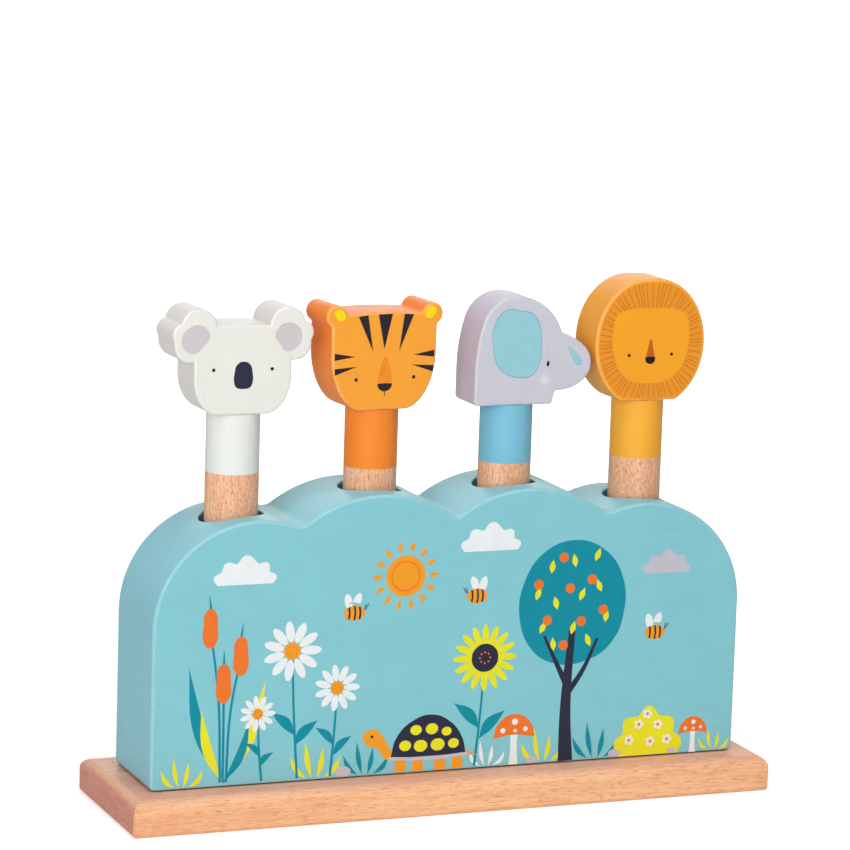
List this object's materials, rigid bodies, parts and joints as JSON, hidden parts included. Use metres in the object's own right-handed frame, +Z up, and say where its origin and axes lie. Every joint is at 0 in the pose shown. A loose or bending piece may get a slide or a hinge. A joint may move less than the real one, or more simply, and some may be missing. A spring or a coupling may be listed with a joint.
{
  "type": "pop up animal toy",
  "caption": "Wooden pop up toy: a scalloped block on a board, with animal headed pegs that stand on springs in round holes and can be pressed, turned and lifted out.",
  "frame": {"origin": "centre of the board underside, where the toy stands", "axes": "+X along the row of pegs from koala to lion, +Y to the back, +Z up"},
  "size_m": [0.256, 0.069, 0.1968],
  "materials": {
    "beech": "sanded and clear lacquered, satin",
    "teal_paint": "solid wood under light teal satin paint",
    "white_paint": "wood under white satin paint",
    "orange_paint": "wood under orange satin paint",
    "lilac_paint": "wood under lilac grey satin paint",
    "yellow_paint": "wood under warm yellow satin paint",
    "spring_steel": "drawn spring wire, zinc plated",
    "screw_steel": "zinc plated"
  },
  "bodies": {
    "base": {"base_board": "beech", "hole_block": "teal_paint", "base_screws": "screw_steel"},
    "koala_pusher": {"koala_spring": "spring_steel"},
    "koala_stem": {"koala_pin": "beech"},
    "koala_peg": {"koala_head": "white_paint", "koala_dowel": "beech"},
    "tiger_pusher": {"tiger_spring": "spring_steel"},
    "tiger_stem": {"tiger_pin": "beech"},
    "tiger_peg": {"tiger_head": "orange_paint", "tiger_dowel": "beech"},
    "elephant_pusher": {"elephant_spring": "spring_steel"},
    "elephant_stem": {"elephant_pin": "beech"},
    "elephant_peg": {"elephant_head": "lilac_paint", "elephant_dowel": "beech"},
    "lion_pusher": {"lion_spring": "spring_steel"},
    "lion_stem": {"lion_pin": "beech"},
    "lion_peg": {"lion_head": "yellow_paint", "lion_dowel": "beech"}
  },
  "joints": [
    {"name": "koala_press", "type": "slide", "parent": "base", "child": "koala_pusher", "axis": [0, 0, 1], "range_m": [-0.026, 0], "stiffness_N_per_m": 376, "springref_m": 0.002, "deforming": ["koala_spring"]},
    {"name": "koala_lift", "type": "slide", "parent": "koala_pusher", "child": "koala_stem", "axis": [0, 0, 1], "range_m": [0, 0.075]},
    {"name": "koala_turn", "type": "hinge", "parent": "koala_stem", "child": "koala_peg", "pos_m": [-0.08175, 0, 0.1502], "axis": [0, 0, 1], "continuous": true},
    {"name": "tiger_press", "type": "slide", "parent": "base", "child": "tiger_pusher", "axis": [0, 0, 1], "range_m": [-0.026, 0], "stiffness_N_per_m": 376, "springref_m": 0.002, "deforming": ["tiger_spring"]},
    {"name": "tiger_lift", "type": "slide", "parent": "tiger_pusher", "child": "tiger_stem", "axis": [0, 0, 1], "range_m": [0, 0.075]},
    {"name": "tiger_turn", "type": "hinge", "parent": "tiger_stem", "child": "tiger_peg", "pos_m": [-0.02725, 0, 0.1502], "axis": [0, 0, 1], "continuous": true},
    {"name": "elephant_press", "type": "slide", "parent": "base", "child": "elephant_pusher", "axis": [0, 0, 1], "range_m": [-0.026, 0], "stiffness_N_per_m": 376, "springref_m": 0.002, "deforming": ["elephant_spring"]},
    {"name": "elephant_lift", "type": "slide", "parent": "elephant_pusher", "child": "elephant_stem", "axis": [0, 0, 1], "range_m": [0, 0.075]},
    {"name": "elephant_turn", "type": "hinge", "parent": "elephant_stem", "child": "elephant_peg", "pos_m": [0.02725, 0, 0.1502], "axis": [0, 0, 1], "continuous": true},
    {"name": "lion_press", "type": "slide", "parent": "base", "child": "lion_pusher", "axis": [0, 0, 1], "range_m": [-0.026, 0], "stiffness_N_per_m": 376, "springref_m": 0.002, "deforming": ["lion_spring"]},
    {"name": "lion_lift", "type": "slide", "parent": "lion_pusher", "child": "lion_stem", "axis": [0, 0, 1], "range_m": [0, 0.075]},
    {"name": "lion_turn", "type": "hinge", "parent": "lion_stem", "child": "lion_peg", "pos_m": [0.08175, 0, 0.1502], "axis": [0, 0, 1], "continuous": true}
  ]
}
